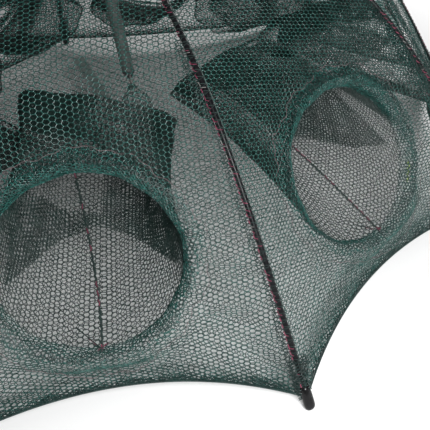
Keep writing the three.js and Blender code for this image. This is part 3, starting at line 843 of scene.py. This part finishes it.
def along_rib(t, outward_by, aside, number):
    """Points beside a rib's centre line: outward_by above it, aside towards the next rib."""
    line = rib_point(t)
    ahead = rib_point(np.clip(t + NUDGE, 0, 1)) - rib_point(np.clip(t - NUDGE, 0, 1))
    ahead /= np.hypot(ahead[:, 0], ahead[:, 1])[:, None]
    x = line[:, 0] - ahead[:, 1] * outward_by
    z = line[:, 1] + ahead[:, 0] * outward_by
    return turned(np.stack([x, np.broadcast_to(aside, x.shape), z], -1), rib_azimuth(number))


def wound(at, length, angles, number, radius=LACING_RADIUS):
    """A thread laid round a rod, through the given angles while it goes a length along the rib."""
    t = np.interp(at + np.linspace(0, length, len(angles)), RIB_LENGTH, STEPS)
    return along_rib(t, radius * np.sin(angles), -radius * np.cos(angles), number)


def lacing(number):
    parts = []
    laced = np.arange(22, RIB_END - 12, 1.1)
    turn = 2 * math.pi * laced / STITCH
    t = np.interp(laced, RIB_LENGTH, STEPS)
    helix = along_rib(t, LACING_RADIUS * np.sin(turn), LACING_RADIUS * np.cos(turn), number)
    parts.append(tube(helix, 0.3, 4, index=DARK))
    for at in np.arange(24, RIB_END - 16, STITCH):
        # a stitch along one side, in mixed threads
        kind = rng.choice([PINK, PINK, PINK, PALE, DARK], 1)[0]
        stitched = np.interp(at + np.linspace(0, rng.uniform(2.2, 4.6), 5), RIB_LENGTH, STEPS)
        rise = 0.5 + rng.normal(0, 0.3) + np.linspace(0, 1.6, 5)
        path = along_rib(stitched, rise, -LACING_RADIUS - 0.3, number)
        path += rng.normal(0, 0.12, path.shape)
        parts.append(tube(path, 0.4, 5, index=int(kind)))
        # a dark thread that crosses over the rod to the next stitch
        over = np.linspace(-0.3, math.pi + 0.3, 9)
        parts.append(tube(wound(at + 1.5, 3.2, over, number), 0.42, 5, index=DARK))
        # a twist of thread that leans up the rod's side
        lean = np.linspace(0.1, rng.uniform(0.8, 1.9), 6)
        twist = wound(at + 3.4, rng.uniform(1.0, 3.0), lean, number, LACING_RADIUS + 0.1)
        parts.append(tube(twist, 0.3, 5, index=int(rng.choice([PINK, DARK]))))
        # now and then a pale one that starts over the rod
        if rng.random() < 0.1:
            over = np.linspace(-0.2, math.pi * rng.uniform(0.25, 0.6), 6)
            parts.append(tube(wound(at + 5.5, 1.4, over, number), 0.34, 5, index=PALE))
    # selvage cord on the other side
    t = np.linspace(0.06, 0.97, 150)
    wave = 0.25 * np.sin(np.arange(150) * 1.9)
    parts.append(tube(along_rib(t, 0.2 + wave, ROD_RADIUS + 0.9, number), 0.3, 5, index=CORD))
    mesh_piece(f"rib_lacing_{number}", parts, LACING_THREADS, f"rib_{number}")


def rib_strip(number):
    """Doubled strip of netting beside the rod, and the corner gathered round the foot."""

    def in_strip(p):
        ragged = -8.5 - 1.2 * np.sin(p[:, 1] / 21)
        return (p[:, 0] > ragged) & (p[:, 0] < -2.4) & (p[:, 1] > STRIP_FROM)

    def on_strip(p):
        # the strip lies on the panel, so it falls away from the rod at half a side's angle
        t = np.interp(p[:, 1], RIB_LENGTH, STEPS)
        return along_rib(t, 0.9 + 0.41 * (p[:, 0] + 2), p[:, 0], number)

    def in_corner(p):
        along = (p[:, 1] > 0) & (p[:, 1] < CORNER_LONG)
        return along & (p[:, 0] > -CORNER_HALF_ROUND) & (p[:, 0] < CORNER_HALF_ROUND)

    def on_corner(p):
        t = np.interp(RIB_END - 40 + p[:, 1], RIB_LENGTH, STEPS)
        turn = 2 * math.pi * p[:, 0] / (2 * CORNER_HALF_ROUND)
        wide = 3.4 + 2.6 * (1 - p[:, 1] / CORNER_LONG) + 1.2 * np.sin(3 * turn + p[:, 1] / 6)
        return along_rib(t, wide * np.sin(turn), 1.5 * wide * np.cos(turn), number)

    strip = netting(
        (-11, STRIP_FROM - 10), (0, RIB_END - 4), 2.9, 0.08, in_strip, on_strip, STRIP_STRAND,
        lambda p: np.stack([-p[:, 0] / 12, p[:, 1] / 700], 1),
    )
    corner = netting(
        (-CORNER_HALF_ROUND, 0), (CORNER_HALF_ROUND, CORNER_LONG), 3.0, 0.1, in_corner, on_corner,
        STRIP_STRAND, lambda p: np.stack([0.5 + p[:, 0] / 40, p[:, 1] / 700], 1),
    )
    mesh_piece(f"rib_strip_{number}", [strip, corner], [HEM], f"rib_{number}")


for number in range(1, SIDES + 1):
    lacing(number)
    rib_strip(number)

# ---- bait bag -------------------------------------------------------------------------------------

BAG_HEIGHT, BAG_HALF_ROUND = 95.0, 45
BAG_DOWN = BAG_HEIGHT * np.array([0, 0.08, 0.23, 0.5, 0.82, 0.97, 1.0])
BAG_RADIUS = np.array([3.2, 5.0, 15.5, 19.5, 16.5, 8.0, 1.0])
BAG_TOP = BAIT_EYE_HEIGHT - 2 * BAIT_LOOP


def bag_point(p):
    """The bag in space, from places on it unrolled: round it, and down it."""
    turn = 2 * math.pi * p[:, 0] / (2 * BAG_HALF_ROUND)
    wide = np.interp(p[:, 1], BAG_DOWN, BAG_RADIUS) * (1 + 0.05 * np.sin(3 * turn + p[:, 1] / 15))
    return np.stack([wide * np.cos(turn), wide * np.sin(turn), BAG_TOP - p[:, 1]], -1)


def in_bag(p):
    around = (p[:, 0] > -BAG_HALF_ROUND) & (p[:, 0] < BAG_HALF_ROUND)
    return around & (p[:, 1] > 0) & (p[:, 1] < BAG_HEIGHT)


bag = netting(
    (-BAG_HALF_ROUND, 0), (BAG_HALF_ROUND, BAG_HEIGHT), BAG_PITCH, 0.03, in_bag, bag_point, BAG_STRAND,
    lambda p: np.stack([0.5 + p[:, 0] / 100, p[:, 1] / 100], 1),
)
mesh_piece("bait_bag_netting", [bag], [BAIT], "bait_bag", replaces=("bait_bag",))
turn = np.linspace(0, 2 * math.pi, 33)[:-1]
loop_height = BAIT_EYE_HEIGHT - BAIT_LOOP + BAIT_LOOP * np.cos(turn)
loop = np.stack([0 * turn, BAIT_LOOP * np.sin(turn), loop_height], -1)
drawstring = np.stack([5.4 * np.cos(turn), 5.4 * np.sin(turn), BAG_TOP - 7 + 0 * turn], -1)
cords = [tube(loop, 1.0, 8, closed=True), tube(drawstring, 0.9, 6, closed=True)]
mesh_piece("bait_cord", cords, [THREAD_PALE], "bait_bag")

# ---- CAD nodes that stay in view ------------------------------------------------------------------

FINISH = {
    "rib": ROD, "strut": STEEL, "crown_wire": STEEL, "crown": PLASTIC, "hub_cap": PLASTIC,
    "haul_ring": STEEL, "pole": POLE, "pole_end": PLASTIC, "runner": PLASTIC, "bottom_patch": HEM,
    "zip_tape": TAPE, "zip_slider": STEEL, "zip_pull": STEEL,
}
for name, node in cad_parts.items():
    finish = FINISH.get(name) or FINISH.get(name.rsplit("_", 1)[0])
    if finish:
        node.data.materials.clear()
        node.data.materials.append(finish)

# ---- stage ----------------------------------------------------------------------------------------

# In metres from here on.

FLOOR_SIZE, FLOOR_GAP = 12, 0.0005
FLOOR_GREY = 0.92
SKY_STRENGTH = 0.15
STANDPOINT = (-0.1759, -0.9299, 0.6326)
YAW, PITCH, ROLL = -0.636, -0.579, 0.017
LENS, SENSOR_WIDTH = 67.19, 36
LENS_SHIFTS = {"shift_x": -0.582, "shift_y": -0.196}
SHIFT_HELD_TO, SHIFT_GONE_AT = 0.01, 0.1  # distances from the standpoint

bpy.ops.mesh.primitive_plane_add(size=FLOOR_SIZE, location=(0, 0, -FLOOR_GAP))
floor = bpy.context.active_object
floor.name = "studio_floor"
paper = bpy.data.materials.new("paper")
paper.use_nodes = True
paper_shader = paper.node_tree.nodes["Principled BSDF"]
paper_shader.inputs["Base Color"].default_value = (FLOOR_GREY, FLOOR_GREY, FLOOR_GREY, 1)
paper_shader.inputs["Roughness"].default_value = 0.9
floor.data.materials.append(paper)

world = bpy.data.worlds.new("studio")
bpy.context.scene.world = world
world.use_nodes = True
sky = world.node_tree.nodes["Background"]
sky.inputs["Color"].default_value = (1, 1, 1, 1)
sky.inputs["Strength"].default_value = SKY_STRENGTH


def lamp(name, location, target, size, power):
    """A square softbox that faces its target and stays out of view."""
    data = bpy.data.lights.new(name, "AREA")
    data.size = size
    data.energy = power
    made = bpy.data.objects.new(name, data)
    made.location = location
    made.rotation_euler = (Vector(target) - Vector(location)).to_track_quat("-Z", "Y").to_euler()
    made.visible_camera = False
    bpy.context.scene.collection.objects.link(made)


lamp("key", (-0.05, -1.15, 0.66), (0.08, -0.45, 0), 0.4, 18)
lamp("background", (1.15, 0.5, 0.55), (0.85, 0.33, 0), 0.4, 8)

camera_data = bpy.data.cameras.new("camera")
camera = bpy.data.objects.new("camera", camera_data)
bpy.context.scene.collection.objects.link(camera)
bpy.context.scene.camera = camera
camera.matrix_world = (
    Matrix.Translation(STANDPOINT)
    @ Matrix.Rotation(YAW, 4, "Z")
    @ Matrix.Rotation(math.pi / 2 + PITCH, 4, "X")
    @ Matrix.Rotation(ROLL, 4, "Z")
)
camera_data.sensor_width = SENSOR_WIDTH
camera_data.lens = LENS
camera_data.clip_start = 0.01

# The trap is framed from one side of the lens's field, so the lens is shifted. The shift belongs to this
# standpoint: it fades out as the camera leaves it, so that a view from elsewhere is centred on the trap.
standpoint = bpy.data.objects.new("standpoint", None)
standpoint.location = STANDPOINT
bpy.context.scene.collection.objects.link(standpoint)
for shift_name, shift in LENS_SHIFTS.items():
    setattr(camera_data, shift_name, shift)
    curve = camera_data.driver_add(shift_name)
    curve.driver.type = "SUM"
    apart = curve.driver.variables.new()
    apart.type = "LOC_DIFF"
    apart.targets[0].id = camera
    apart.targets[1].id = standpoint
    for ready_made in list(curve.modifiers):
        curve.modifiers.remove(ready_made)
    curve.keyframe_points.clear()
    for distance, value in ((0.0, shift), (SHIFT_HELD_TO, shift), (SHIFT_GONE_AT, 0.0)):
        curve.keyframe_points.insert(distance, value).interpolation = "LINEAR"
    curve.extrapolation = "CONSTANT"

bpy.context.scene.view_settings.view_transform = "Standard"
